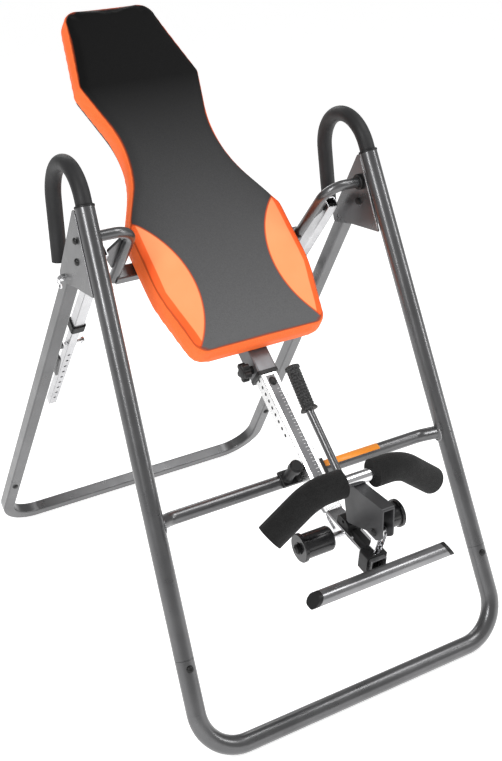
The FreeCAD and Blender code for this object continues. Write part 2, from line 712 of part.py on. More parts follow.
for i in range(lobes):
    turn = FreeCAD.Placement(Vec(0, 0, 0), FreeCAD.Rotation(Vec(1, 0, 0), 360 / lobes * i))
    knob_parts.append(turned(f"knob_lobe_{i}", knob_spot * turn * shift(0, 14, 0),
                             [(11, 0), (11, 6), (12, 7), (24, 7), (26, 5), (26, 0)]))
knob = doc.addObject("Part::MultiFuse", "height_knob")
knob.Shapes = knob_parts
knob.Label = "height_knob"
keep(knob)

# ---------------------------------------------------------------- height tube and foot tube
slide_tube = size("slide_tube")
knee = size("knee_along")
MITRE = BED * FreeCAD.Placement(Vec(0, knee, slide_middle),
                                FreeCAD.Rotation(Vec(1, 0, 0), -size("foot_angle") / 2))
tube_section = square_tube(slide_tube, slide_tube, size("slide_wall"), 3)
overrun = 25


def mitre_cutter(label, sign):
    return plate(label, MITRE, 80, [(-40, 0), (40, 0), (40, sign * 80), (-40, sign * 80)])


hole_first = -300.4
hole_pitch = 16.2
hole_count = 9
hole_width = 7.6
height_holes = [cylinder(f"height_hole_{i}", BED * shift(0, hole_first - i * hole_pitch, slide_middle + 2),
                         hole_width, 60) for i in range(-6, hole_count)]
height_blank = swept("height_blank", BED * shift(0, 0, slide_middle),
                     [(0, knee - overrun), (0, size("slide_head"))], 0, tube_section)
keep(cut("height_tube", height_blank, [mitre_cutter("mitre_low", -1)] + height_holes))

foot_length = size("foot_tube_length")
axle_bore = 12
roller_along = size("roller_along")
roller_rise = size("roller_rise")
axle_spot = FOOT * shift(0, -roller_along, roller_rise)
foot_blank = swept("foot_blank", FOOT, [(0, overrun), (0, -foot_length)], 0, tube_section)
axle_hole = cylinder("axle_hole", axle_spot, axle_bore + 0.1, 60)
pin_along = 140
pin_hole = cylinder("foot_pin_hole", FOOT * frame((0, -pin_along, slide_tube / 2), (0, 0, 1), (0, 1, 0)),
                    drill, 12)
keep(cut("foot_tube", foot_blank, [mitre_cutter("mitre_high", 1), axle_hole, pin_hole]))
keep(group("knee_gussets", [plate(f"knee_gusset_{name}", side_of(MITRE, side * (slide_tube / 2 + 1.55)), 3,
                                  [(along, rise) for along, rise in
                                   ((-44, -2), (-36, 12), (0, 15), (34, 12), (44, -2), (0, -14))],
                                  [5, 5, 0, 5, 5, 0])
                            for name, side in SIDES]))

axle_half = 121
keep(cylinder("ankle_axle", axle_spot, axle_bore, 2 * axle_half))
sub_parts[-1].Label = "ankle_axle"
roller_in = 45
roller_out = 108
flange_out = 116
bore = axle_bore / 2 + 0.06
body_radius = size("roller_body") / 2
flange_radius = size("roller_flange") / 2
for name, side in SIDES:
    spot = axle_spot * frame((0, 0, 0), (side, 0, 0), (0, 1, 0))
    keep(turned(f"ankle_roller_{name}", spot,
                [(roller_in, bore), (roller_in, body_radius - 6), (roller_in + 2, body_radius - 2),
                 (roller_in + 6, body_radius), (roller_out, body_radius), (roller_out, flange_radius - 1),
                 (roller_out + 1, flange_radius), (flange_out - 1.5, flange_radius),
                 (flange_out, flange_radius - 1.5), (flange_out, bore)]))
nuts = []
for name, side in SIDES:
    spot = axle_spot * frame((0, 0, 0), (side, 0, 0), (0, 1, 0))
    nuts.append(turned(f"axle_nut_{name}", spot,
                       [(flange_out + 0.4, axle_bore / 2 + 0.05), (flange_out + 0.4, 12), (flange_out + 2, 12),
                        (flange_out + 2, 9.5), (axle_half + 2, 9.5), (axle_half + 5, 5), (axle_half + 5, 0),
                        (axle_half + 0.2, 0), (axle_half + 0.2, axle_bore / 2 + 0.05)]))
keep(group("axle_nuts", nuts))

# ---------------------------------------------------------------- clamp post, lever and front pads
half_tube = slide_tube / 2


def foot_side(x):
    """Side plane of the foot frame: local X toward the foot end, local Y off the tube."""
    return FOOT * frame((x, 0, 0), (0, -1, 0), (0, 0, 1))


post_gap = 8
post_outline = [(136, 19.05), (151, 19.05), (158, 50), (163, 80), (158, 91), (144, 91), (139, 80), (142, 50)]
lever_pin = (size("lever_along"), size("lever_rise"))
posts = [plate(f"post_{name}", foot_side(side * post_gap), 3, post_outline, [0, 0, 12, 8, 6, 6, 8, 12],
               [(*lever_pin, drill)]) for name, side in SIDES]
keep(group("clamp_posts", posts))
clamp_block = plate("clamp_block_blank", foot_side(0), 30,
                    [(38, half_tube + 0.05), (78, half_tube + 0.05), (76, 34), (66, 40), (44, 40), (38, 34)],
                    [0, 0, 3, 3, 3, 3])
keep(cut("clamp_block", clamp_block, [cylinder("clamp_block_slot", FOOT * shift(0, -58, 33), 6.4, 60)]))
rail_outline = [(80, half_tube + 0.05), (128, half_tube + 0.05), (128, half_tube + 7), (80, half_tube + 7)]
keep(plate("stop_rail", foot_side(0), 14, rail_outline, [0, 0, 2, 2]))
lever_spot = FOOT * shift(0, -lever_pin[0], lever_pin[1])
keep(dome_bolt("lever_pivot_bolt", lever_spot, bolt, 2 * 13.5 + 0.8))

cheek_x = 12
cheek_web = 3
bracket_outline = [(50, 130), (95, 135), (167, 147), (176, 82), (160, 68), (128, 67), (68, 40), (48, 96)]
bracket_corners = [3, 4, 4, 12, 8, 4, 6, 6]
bracket = plate("bracket_blank", foot_side(0), 2 * cheek_x + cheek_web, bracket_outline, bracket_corners,
                [(*lever_pin, bolt + 0.1)])
channel = plate("bracket_channel", foot_side(0), 2 * cheek_x - cheek_web,
                [(53, 126.8), (95.2, 131.8), (190, 144), (190, 20), (50, 20), (51.5, 97)])
pad_spot = (size("pad_along"), size("pad_rise"))
pad_cope = cylinder("pad_cope", FOOT * shift(0, -pad_spot[0], pad_spot[1]), size("pad_tube") + leg_fit, 70)
lever_low = (84, 63)
lever_kink = (-104.5, 181)
lever_high = (-186, 243)
lever_way = Vec(lever_high[0] - lever_kink[0], lever_high[1] - lever_kink[1], 0)
GRIP = foot_side(0) * frame((*lever_kink, 0), lever_way, (0, 0, 1))
grip_length = lever_way.Length
lower_way = Vec(lever_kink[0] - lever_low[0], lever_kink[1] - lever_low[1], 0)
LOWER = foot_side(0) * frame((*lever_low, 0), lower_way, (0, 0, 1))
lever_hole = cylinder("lever_hole", LOWER * shift(40), size("lever_tube") + leg_fit, 120)
keep(cut("lever_bracket", bracket, [channel, pad_cope, lever_hole]))
lever_radius = size("lever_tube") / 2
tube_stop = grip_length - 8
tube_tip = (lever_kink[0] + lever_way.x * tube_stop / grip_length,
            lever_kink[1] + lever_way.y * tube_stop / grip_length)
keep(swept("lever_tube", foot_side(0), [lever_low, lever_kink, tube_tip], 40,
           round_tube("sizes.lever_tube", 2)))
grip_radius = size("lever_grip") / 2
grip_from = 6
grip_profile = [(grip_from, lever_radius + 0.05), (grip_from, grip_radius + 3.5),
                (grip_from + 3, grip_radius + 4), (grip_from + 9, grip_radius - 1)]
ribs = 12
rib_pitch = (grip_length - 28) / ribs
for i in range(ribs):
    start = grip_from + 10 + i * rib_pitch
    grip_profile += [(start, grip_radius - 1.2), (start + rib_pitch * 0.3, grip_radius),
                     (start + rib_pitch * 0.75, grip_radius)]
grip_profile += [(grip_length - 10, grip_radius - 1), (grip_length - 8, grip_radius + 1.5),
                 (grip_length - 2, grip_radius + 1), (grip_length, grip_radius - 4), (grip_length, 0),
                 (grip_length - 7.8, 0), (grip_length - 7.8, lever_radius + 0.05)]
keep(turned("lever_grip", GRIP, grip_profile))

PADS = FOOT * shift(0, -pad_spot[0], 0) * frame((0, 0, 0), (1, 0, 0), (0, 0, 1))
pad_shoulder = 98
pad_reach = 186
pad_low = 68
pad_bend = 95
pad_inner = 35


def pad_path(side, start, drop):
    """Half of the pads' bent line, from the given start out to its end."""
    slope = (pad_low - pad_spot[1]) / (pad_reach - pad_shoulder)
    end = pad_reach - drop
    return [(side * start, pad_spot[1]), (side * pad_shoulder, pad_spot[1]),
            (side * end, pad_spot[1] + slope * (end - pad_shoulder))]


half_path = pad_path(1, pad_inner, 4)
keep(swept("pad_tube", PADS, [(-x, b) for x, b in reversed(half_path[1:])] + half_path[1:], pad_bend,
           round_tube("sizes.pad_tube", 2)))
pads = []
for name, side in SIDES:
    foam = swept(f"pad_foam_{name}", PADS, pad_path(side, pad_inner, 0), pad_bend, round_tube("sizes.pad_foam"))
    core = swept(f"pad_core_{name}", PADS, pad_path(side, pad_inner - 4, 3.9), pad_bend,
                 round_tube(size("pad_tube") + 0.1))
    pads.append(cut(f"front_pad_{name}", foam, [core]))
keep_pair("front_pads", pads)

# ---------------------------------------------------------------- foot bar
stem_side = 33.6
stem_low = 88
foot_bar_along = size("foot_bar_along")
foot_bar_rise = -6
bar_deep = 17
bar_tall = 30
bar_half = size("foot_bar_half")


def oval_section(sketch):
    """A flat-sided oval: two straight sides joined by half rounds."""
    loop(sketch, [(-bar_tall / 2, -bar_deep / 2 - 4), (bar_tall / 2, -bar_deep / 2 - 4),
                  (bar_tall / 2, bar_deep / 2 + 4), (-bar_tall / 2, bar_deep / 2 + 4)], [11.5] * 4)


bar_spot = FOOT * shift(0, -foot_bar_along, foot_bar_rise)
bar_blank = swept("foot_bar_blank", bar_spot, [(-bar_half, 0), (bar_half, 0)], 0, oval_section)
bevel = []
cap_faces = []
cap_thickness = 9
for name, side in SIDES:
    bevel.append(plate(f"bar_bevel_{name}", bar_spot * frame((0, 0, 0), (side, 0, 0), (0, 0, 1)), 40,
                       [(bar_half - 20, 18), (bar_half + 4, -18), (bar_half + 30, -18), (bar_half + 30, 18)]))
bar_ends = [plate(f"bar_trim_{name}", bar_spot * frame((0, 0, 0), (side, 0, 0), (0, 0, 1)), 40,
                  [(bar_half - 20 - cap_thickness, 18), (bar_half + 4 - cap_thickness, -18),
                   (bar_half + 30, -18), (bar_half + 30, 18)]) for name, side in SIDES]
keep(cut("foot_bar", bar_blank, bar_ends))
cap_stock = swept("cap_stock", bar_spot, [(-bar_half, 0), (bar_half, 0)], 0, oval_section)
cap_inner = plate("cap_inner", bar_spot * frame((0, 0, 0), (1, 0, 0), (0, 0, 1)), 40,
                  [(-bar_half + 20 + cap_thickness, 18), (bar_half - 20 - cap_thickness, 18),
                   (bar_half + 4 - cap_thickness, -18), (-bar_half - 4 + cap_thickness, -18)])
keep(cut("foot_bar_caps", cap_stock, bevel + [cap_inner]))
stem_end = foot_bar_along - bar_tall / 2 - 0.2
keep(swept("foot_bar_stem", FOOT, [(0, -stem_low), (0, -stem_end)], 0,
           square_tube(stem_side, stem_side, 2.2, 2.5)))
collar_tall = slide_tube + 7
foot_collar = swept("foot_collar_blank", FOOT, [(0, -(foot_length - 24)), (0, -(foot_length + 3))], 0,
                    square_tube(collar_tall, collar_tall, None, 5))
foot_inside = swept("foot_inside", FOOT, [(0, -(foot_length - 30)), (0, -foot_length)], 0,
                    square_tube(slide_tube + 0.1, slide_tube + 0.1, None, 3))
foot_through = swept("foot_through", FOOT, [(0, -(foot_length - 30)), (0, -(foot_length + 12))], 0,
                     square_tube(stem_side + 0.8, stem_side + 0.8, None, 2.9))
post_slots = plate("post_slots", foot_side(0), 2 * post_gap + 3.2, [(134, 18), (153, 18), (153, 30), (134, 30)])
collar_hole = cylinder("foot_collar_hole", FOOT * frame((0, -pin_along, 22), (0, 0, 1), (0, 1, 0)), drill, 14)
keep(cut("foot_tube_collar", foot_collar, [foot_inside, foot_through, post_slots, collar_hole]))
pin_spot = FOOT * frame((0, -pin_along, stem_side / 2 + 0.4), (0, 0, 1), (0, 1, 0))
pin_rise = collar_tall / 2 - stem_side / 2
keep(turned("foot_bar_pin", pin_spot,
            [(0, 0), (0, bolt / 2), (pin_rise, bolt / 2), (pin_rise, 5.6), (pin_rise + 9, 5.6),
             (pin_rise + 11, 3), (pin_rise + 24, 3), (pin_rise + 25, 5.6), (pin_rise + 30, 5.6),
             (pin_rise + 32, 4), (pin_rise + 32, 0)]))

# ---------------------------------------------------------------- side struts
strut_anchor = (728, 637)
strut_outer = size("strut_outer")
strut_inner = size("strut_inner")
pin_world = GROUND.inverse().multVec(BED.multVec(Vec(0, strut_pin[0], strut_pin[1])))
strut_way = Vec(0, strut_anchor[0] - pin_world.y, strut_anchor[1] - pin_world.z)
strut_span = strut_way.Length
strut_way.normalize()
tube_end = 291
bar_start = 150
bar_end_along = 668
anchor_drill = 10


def strut_frame(side):
    """On the strut pin: local X down the strut, local Y along world X."""
    return GROUND * frame((side * strut_half, pin_world.y, pin_world.z), strut_way, (1, 0, 0))


for name, side in SIDES:
    base = strut_frame(side)
    tube = swept(f"strut_blank_{name}", base, [(-14, 0), (tube_end, 0)], 0,
                 square_tube(strut_outer, strut_outer, 2, 3))
    eye = cylinder(f"strut_eye_{name}", base * frame((0, 0, 0), (0, 1, 0), (0, 0, 1)), 10.12, 60)
    keep(cut(f"strut_tube_{name}", tube, [eye]))
    rim = swept(f"collar_blank_{name}", base, [(tube_end - 20, 0), (tube_end + 3, 0)], 0,
                square_tube(strut_outer + 7, strut_outer + 7, None, 5))
    rim_inside = swept(f"collar_inside_{name}", base, [(tube_end - 30, 0), (tube_end, 0)], 0,
                       square_tube(strut_outer + 0.1, strut_outer + 0.1, None, 3))
    rim_through = swept(f"collar_through_{name}", base, [(tube_end - 30, 0), (tube_end + 10, 0)], 0,
                        square_tube(strut_inner + 0.7, strut_inner + 0.7, None, 2.5))
    keep(cut(f"strut_collar_{name}", rim, [rim_inside, rim_through]))
    bar_body = swept(f"strut_bar_blank_{name}", base, [(bar_start, 0), (bar_end_along, 0)], 0,
                     square_tube(strut_inner, strut_inner, 2.5, 2.5))
    bar_holes = [cylinder(f"strut_hole_{name}_{i}", base * shift(strut_span + 42 + 28 * i)
                          * frame((0, 0, 0), (0, 0, 1), (1, 0, 0)), 7, 60) for i in range(9)]
    pin_bore = cylinder(f"strut_bore_{name}", base * shift(strut_span) * frame((0, 0, 0), (0, 1, 0), (0, 0, 1)),
                        anchor_drill + 0.6, 60)
    keep(cut(f"strut_bar_{name}", bar_body, bar_holes + [pin_bore]))
    handle_spot = base * shift(strut_span) * frame((0, 0, 0), (0, -side, 0), (0, 0, 1))
    keep(turned(f"strut_pin_handle_{name}", handle_spot,
                [(-15, 0), (-15, 4), (-14, anchor_drill / 2), (10.4, anchor_drill / 2), (10.4, 8), (14, 8),
                 (16, 5), (24, 5), (25, 9), (31, 9), (33, 6), (33, 0)]))

anchor_height = strut_anchor[1]
anchor_fold = Vec(0, *strut_anchor)
anchor_axis = Vec(0, rear_y(anchor_height), anchor_height)
anchor_reach = (anchor_fold - anchor_axis).dot(leg_out)
anchor_rise = (anchor_fold - anchor_axis).dot(leg_dir)
anchors = []
for name, side in SIDES:
    inner_wall = rear_x(anchor_height + 30) - rear_half_tube - 6
    anchor_plane = GROUND * frame((side * inner_wall, anchor_axis.y, anchor_axis.z), leg_out, leg_dir)
    tab = plate(f"anchor_tab_{name}", anchor_plane, 5,
                [(-12, anchor_rise - 34), (14, anchor_rise - 34), (anchor_reach + 12, anchor_rise - 12),
                 (anchor_reach + 12, anchor_rise + 12), (14, anchor_rise + 34), (-12, anchor_rise + 34)],
                [5, 5, 12, 12, 5, 5])
    stud_spot = GROUND * frame((side * inner_wall, *strut_anchor), (-side, 0, 0), (0, 1, 0))
    stud = turned(f"anchor_stud_{name}", stud_spot,
                  [(-6, 0), (-6, 7), (-2.5, 8), (-2.5, 6), (inner_wall - 300, 6), (inner_wall - 300, 9),
                   (inner_wall - 292, 9), (inner_wall - 291, 8), (inner_wall - 291, 0)])
    anchor = doc.addObject("Part::MultiFuse", f"strut_anchor_{name}")
    anchor.Shapes = [tab, stud]
    anchors.append(anchor)
keep(group("strut_anchors", anchors))

# ---------------------------------------------------------------- checks and export
doc.recompute()
for obj in doc.Objects:
    if "Invalid" in obj.State or "Error" in obj.State:
        raise RuntimeError(f"{obj.Name} failed: {obj.State}")
for obj in sub_parts:
    shape = obj.Shape
    if shape.isNull() or not shape.isValid() or not shape.Solids:
        raise RuntimeError(f"{obj.Label} has no valid solid")
for obj in sub_parts:
    obj.Shape.exportStep(f"parts/{obj.Label}.step")
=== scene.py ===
import bpy
import math
from mathutils import Matrix, Vector


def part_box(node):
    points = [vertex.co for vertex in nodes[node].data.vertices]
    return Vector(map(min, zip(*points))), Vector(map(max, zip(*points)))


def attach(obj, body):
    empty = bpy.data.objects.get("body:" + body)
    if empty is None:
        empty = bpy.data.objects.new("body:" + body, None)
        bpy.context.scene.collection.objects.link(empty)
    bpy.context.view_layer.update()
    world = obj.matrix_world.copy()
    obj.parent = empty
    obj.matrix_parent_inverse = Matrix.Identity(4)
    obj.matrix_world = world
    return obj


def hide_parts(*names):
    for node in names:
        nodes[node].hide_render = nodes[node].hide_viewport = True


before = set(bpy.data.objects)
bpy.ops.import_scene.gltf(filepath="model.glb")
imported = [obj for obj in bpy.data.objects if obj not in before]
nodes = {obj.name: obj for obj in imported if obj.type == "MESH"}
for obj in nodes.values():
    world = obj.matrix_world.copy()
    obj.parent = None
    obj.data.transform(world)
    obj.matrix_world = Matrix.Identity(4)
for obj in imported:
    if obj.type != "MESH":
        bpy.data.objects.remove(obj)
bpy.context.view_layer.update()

# Lengths are in metres. BED is the tilting bed's frame: X across, Y along it, Z off its face.
ORIGIN_BACK = 0.5365
BED_ANGLE = math.radians(43.6)
PIVOT = Vector((0, 0.395 - ORIGIN_BACK, 0.960))
BED = Matrix.Translation(PIVOT) @ Matrix.Rotation(BED_ANGLE, 4, "X")
LEG_LEAN = 0.383
LEG_NARROWING = 0.0404
LEG_HALF_BASE = 0.3615
LEG_RADIUS = 0.01905
UPRIGHT_CHEEK = 0.3050
CROSSBAR_RADIUS = 0.014


# ---------------------------------------------------------------- shader helpers
class Shader:
    """A material's node tree, with short names for the nodes it needs."""

    def __init__(self, name):
        self.material = bpy.data.materials.new(name)
        self.material.use_nodes = True
        self.tree = self.material.node_tree
        self.tree.nodes.clear()
        self.out = self.tree.nodes.new("ShaderNodeOutputMaterial")
        self.surface = self.tree.nodes.new("ShaderNodeBsdfPrincipled")
        self.link(self.surface.outputs[0], self.out.inputs["Surface"])
        self.place = self.tree.nodes.new("ShaderNodeTexCoord").outputs["Object"]

    def link(self, source, target):
        self.tree.links.new(source, target)

    def set(self, **values):
        for key, value in values.items():
            self.surface.inputs[key.replace("_", " ")].default_value = value

    def noise(self, scale, detail=4.0, rough=0.55):
        node = self.tree.nodes.new("ShaderNodeTexNoise")
        node.inputs["Scale"].default_value = scale
        node.inputs["Detail"].default_value = detail
        node.inputs["Roughness"].default_value = rough
        self.link(self.place, node.inputs["Vector"])
        return node.outputs["Fac"]

    def cells(self, scale):
        node = self.tree.nodes.new("ShaderNodeTexVoronoi")
        node.inputs["Scale"].default_value = scale
        self.link(self.place, node.inputs["Vector"])
        return node.outputs["Distance"]

    def ramp(self, value, low, high, start=0.3, end=0.7):
        node = self.tree.nodes.new("ShaderNodeMapRange")
        node.inputs["From Min"].default_value = start
        node.inputs["From Max"].default_value = end
        node.inputs["To Min"].default_value = low
        node.inputs["To Max"].default_value = high
        self.link(value, node.inputs["Value"])
        return node.outputs["Result"]

    def math(self, operation, *values):
        node = self.tree.nodes.new("ShaderNodeMath")
        node.operation = operation
        for socket, value in zip(node.inputs, values):
            if isinstance(value, (int, float)):
                socket.default_value = value
            else:
                self.link(value, socket)
        return node.outputs[0]

    def mix(self, factor, first, second):
        node = self.tree.nodes.new("ShaderNodeMix")
        node.data_type = "RGBA"
        for index, value in ((0, factor), (6, first), (7, second)):
            if isinstance(value, (int, float)):
                node.inputs[index].default_value = value
            elif isinstance(value, tuple):
                node.inputs[index].default_value = (*value, 1)
            else:
                self.link(value, node.inputs[index])
        return node.outputs[2]

    def color(self, value):
        self.link(value, self.surface.inputs["Base Color"])

    def rough(self, value):
        self.link(value, self.surface.inputs["Roughness"])

    def bump(self, value, strength, distance):
        node = self.tree.nodes.new("ShaderNodeBump")
        node.inputs["Strength"].default_value = strength
        node.inputs["Distance"].default_value = distance
        self.link(value, node.inputs["Height"])
        self.link(node.outputs[0], self.surface.inputs["Normal"])

    def axes(self):
        node = self.tree.nodes.new("ShaderNodeSeparateXYZ")
        self.link(self.place, node.inputs[0])
        return node.outputs[0], node.outputs[1], node.outputs[2]


def speckled(name, dark, light, rough_low, rough_high, metallic=0.0, grain=900, bump=0.08, depth=0.0004):
    """A plain coat with fine grain, slow colour drift and uneven roughness."""
    shade = Shader(name)
    shade.set(Metallic=metallic)
    drift = shade.noise(9, 3)
    fine = shade.noise(grain, 2)
    both = shade.math("ADD", shade.math("MULTIPLY", drift, 0.6), shade.math("MULTIPLY", fine, 0.4))
    shade.color(shade.mix(shade.ramp(both, 0, 1, 0.38, 0.62), dark, light))
    shade.rough(shade.ramp(shade.noise(34, 5), rough_low, rough_high))
    shade.bump(fine, bump, depth)
    return shade


# ---------------------------------------------------------------- materials
def frame_paint():
    dark, light = (0.10, 0.10, 0.102), (0.135, 0.135, 0.138)
    shade = speckled("frame_paint", dark, light, 0.26, 0.33, 0.8, 1600, 0.015)
    shade.set(Coat_Weight=0.2, Coat_Roughness=0.25)
    return shade.material


def box_paint():
    dark, light = (0.10, 0.10, 0.105), (0.13, 0.13, 0.135)
    return speckled("box_paint", dark, light, 0.34, 0.42, 0.5, 1500, 0.05).material


def bar_metal():
    dark, light = (0.20, 0.20, 0.205), (0.27, 0.27, 0.275)
    return speckled("bar_metal", dark, light, 0.25, 0.34, 0.8, 1500, 0.04).material


def bolt_black():
    return speckled("bolt_black", (0.012, 0.012, 0.012), (0.03, 0.03, 0.03), 0.3, 0.45, 0.6, 1200).material


def brushed(name, dark, light, low, high):
    shade = speckled(name, dark, light, low, high, 1.0, 700, 0.03)
    return shade.material


def black_plastic():
    shade = speckled("black_plastic", (0.005, 0.005, 0.0055), (0.012, 0.012, 0.0125), 0.42, 0.55, 0.0, 900)
    shade.set(Specular_IOR_Level=0.3)
    return shade.material


def gloss_plastic():
    dark, light = (0.006, 0.006, 0.007), (0.014, 0.014, 0.015)
    shade = speckled("gloss_plastic", dark, light, 0.18, 0.3, 0.0, 600, 0.02)
    return shade.material


def rubber_and_painted_shade():
    return speckled("rubber_and_painted_shade", (0.015, 0.015, 0.015), (0.03, 0.03, 0.03), 0.6, 0.75, 0.0, 500, 0.15).material


def grip_foam():
    shade = speckled("grip_foam", (0.009, 0.009, 0.0095), (0.017, 0.017, 0.018), 0.5, 0.65, 0.0, 1400, 0.25)
    shade.set(Specular_IOR_Level=0.35, Sheen_Weight=0.04)
    return shade.material


def pad_foam():
    shade = Shader("pad_foam")
    pores = shade.cells(620)
    shade.color(shade.mix(shade.ramp(pores, 0, 1, 0.1, 0.7), (0.013, 0.013, 0.013), (0.003, 0.003, 0.003)))
    shade.rough(shade.ramp(shade.noise(60), 0.75, 0.9))
    shade.set(Specular_IOR_Level=0.25, Sheen_Weight=0.06)
    shade.bump(shade.math("ADD", pores, shade.noise(900, 3)), 0.6, 0.0008)
    return shade.material


def lever_rubber():
    shade = Shader("lever_rubber")
    pits = shade.cells(330)
    shade.color(shade.mix(shade.ramp(pits, 0, 1, 0.2, 0.6), (0.05, 0.05, 0.05), (0.008, 0.008, 0.008)))
    shade.rough(shade.ramp(shade.noise(80), 0.5, 0.7))
    shade.bump(pits, 0.8, 0.002)
    return shade.material


def lever_paint():
    dark, light = (0.035, 0.035, 0.037), (0.05, 0.05, 0.052)
    return speckled("lever_paint", dark, light, 0.35, 0.45, 0.4, 1200).material


def board_wood():
    shade = Shader("board_wood")
    grain = shade.noise(40, 8, 0.7)
    shade.color(shade.mix(shade.ramp(grain, 0, 1), (0.05, 0.045, 0.04), (0.09, 0.08, 0.07)))
    shade.rough(shade.ramp(grain, 0.6, 0.8))
    shade.bump(grain, 0.2, 0.001)
    return shade.material


def orange_plastic():
    dark, light = (0.85, 0.27, 0.02), (0.93, 0.34, 0.03)
    return speckled("orange_film", dark, light, 0.35, 0.45, 0.0, 900, 0.03).material


def scale_film():
    dark, light = (0.10, 0.10, 0.105), (0.16, 0.16, 0.165)
    return speckled("scale_film", dark, light, 0.4, 0.5, 0.0, 900, 0.03).material


def tick_film():
    return speckled("tick_film", (0.62, 0.62, 0.62), (0.72, 0.72, 0.72), 0.4, 0.5, 0.0, 900, 0.03).material


PANEL_CENTRE = (0.321, -0.085)
PANEL_RADIUS = 0.227
SIDE_BAND = -0.1225
HALF_WIDTH = 0.186
TAPER = 0.2286
TAPER_FROM = -0.091


def backrest_vinyl():
    """Black vinyl with orange wings and an orange side band, masked by place on the bed; the black carries
    a painted sheen toward the lower end.
    """
    shade = Shader("backrest_vinyl")
    x, along, off = shade.axes()
    side = shade.math("ABSOLUTE", x)
    across = shade.math("SUBTRACT", side, PANEL_CENTRE[0])
    up = shade.math("SUBTRACT", along, PANEL_CENTRE[1])
    distance = shade.math("SQRT", shade.math("ADD", shade.math("MULTIPLY", across, across),
                                             shade.math("MULTIPLY", up, up)))
    panel = shade.ramp(distance, 1, 0, PANEL_RADIUS - 0.0006, PANEL_RADIUS + 0.0006)
    seam = shade.ramp(shade.math("ABSOLUTE", shade.math("SUBTRACT", distance, PANEL_RADIUS)),
                      1, 0, 0.0010, 0.0024)
    narrowing = shade.math("MULTIPLY", shade.math("MAXIMUM", shade.math("SUBTRACT", TAPER_FROM, along), 0),
                           TAPER)
    inward = shade.math("SUBTRACT", shade.math("SUBTRACT", HALF_WIDTH, narrowing), side)
    border = shade.ramp(inward, 1, 0, 0.0215, 0.0235)
    band = shade.ramp(off, 1, 0, SIDE_BAND - 0.0006, SIDE_BAND + 0.0006)
    rim = shade.ramp(shade.math("ABSOLUTE", shade.math("SUBTRACT", off, SIDE_BAND)), 1, 0, 0.0008, 0.0018)
    mottle = shade.noise(420, 6, 0.7)
    broad = shade.noise(7, 3)
    # Painted sheen: the black vinyl's base colour greys toward the lower end of the bed (smaller along),
    # standing in for reflected light; the mottle only breaks the sheen up.
    painted_sheen = shade.ramp(along, 1, 0, -0.22, 0.44)
    painted_sheen = shade.math("MULTIPLY", painted_sheen, shade.ramp(mottle, 0.8, 1.15, 0.3, 0.7))
    black = shade.mix(painted_sheen, (0.003, 0.003, 0.0031), (0.105, 0.105, 0.107))
    light = shade.mix(shade.ramp(broad, 0, 1), (1.0, 0.30, 0.115), (1.0, 0.335, 0.14))
    deep = shade.mix(shade.ramp(broad, 0, 1), (0.95, 0.11, 0.022), (1.0, 0.15, 0.035))
    side_color = shade.mix(shade.ramp(mottle, 0, 1, 0.3, 0.7), (0.95, 0.14, 0.03), (1.0, 0.20, 0.055))
    wing = shade.mix(border, light, deep)
    top = shade.mix(panel, black, wing)
    top = shade.mix(shade.math("MULTIPLY", seam, 0.75), top, (0.55, 0.06, 0.012))
    whole = shade.mix(band, top, side_color)
    whole = shade.mix(shade.math("MULTIPLY", rim, 0.6), whole, (0.25, 0.035, 0.01))
    shade.color(whole)
    shade.rough(shade.ramp(mottle, 0.46, 0.6))
    shade.set(Specular_IOR_Level=0.1)
    pebble = shade.cells(520)
    sunk = shade.math("MULTIPLY", shade.math("MAXIMUM", seam, rim), -2.5)
    shade.bump(shade.math("ADD", shade.math("ADD", pebble, shade.math("MULTIPLY", mottle, 0.5)), sunk),
               0.22, 0.0012)
    return shade.material


PAINTED = {
    frame_paint: ("front_base_tube", "front_legs", "leg_joint_sleeves", "crossbar", "side_brackets",
                  "handle_tubes", "rear_base_tube", "rear_legs", "rear_hinge_lugs", "strut_anchors",
                  "pivot_arms", "bed_cross_tubes", "strut_tabs", "lever_tube"),
    box_paint: ("bed_main_tube",),
    bar_metal: ("foot_bar", "foot_bar_stem"),
    bolt_black: ("front_joint_bolts", "fold_bolts", "rear_joint_bolts", "pivot_bolts", "strut_pins",
                 "lever_pivot_bolt", "axle_nuts"),
    black_plastic: ("box_end_collar", "pivot_bushings", "handle_collars", "foot_bar_caps",
                    "strut_collar_left", "strut_collar_right", "rest_post", "rest_saddle",
                    "foot_tube_collar", "height_knob", "stop_rail", "clamp_block"),
    gloss_plastic: ("ankle_roller_left", "ankle_roller_right"),
    rubber_and_painted_shade: ("rest_bumper",),
    grip_foam: ("foam_grips",),
    pad_foam: ("front_pads",),
    lever_rubber: ("lever_grip",),
    lever_paint: ("lever_bracket",),
    board_wood: ("backrest_board",),
}
METALS = {
    ("strut_steel", (0.45, 0.45, 0.46), (0.6, 0.6, 0.61), 0.25, 0.36): (
        "strut_tube_left", "strut_tube_right", "strut_bar_left", "strut_bar_right"),
    ("chrome", (0.72, 0.72, 0.73), (0.8, 0.8, 0.81), 0.08, 0.16): (
        "foot_tube", "ankle_axle", "pad_tube", "clamp_posts", "knee_gussets", "lock_pin_left",
        "lock_pin_right", "foot_bar_pin", "strut_pin_handle_left", "strut_pin_handle_right"),
    ("slide_steel", (0.72, 0.72, 0.72), (0.85, 0.85, 0.85), 0.2, 0.3): ("height_tube",),
}


def give(obj, material):
    obj.data.materials.clear()
    obj.data.materials.append(material)


def dress_nodes():
    for make, names in PAINTED.items():
        material = make()
        for name in names:
            give(nodes[name], material)
    for finish, names in METALS.items():
        material = brushed(*finish)
        for name in names:
            give(nodes[name], material)
    give(nodes["backrest_cushion"], backrest_vinyl())


# ---------------------------------------------------------------- mesh helpers
def new_piece(name, verts, faces, material, body, smooth=True):
    mesh = bpy.data.meshes.new(name)
    mesh.from_pydata(verts, [], faces)
    mesh.update()
    obj = bpy.data.objects.new(name, mesh)
    bpy.context.scene.collection.objects.link(obj)
    obj.data.materials.append(material)
    for face in mesh.polygons:
        face.use_smooth = smooth
    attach(obj, body)
    return obj


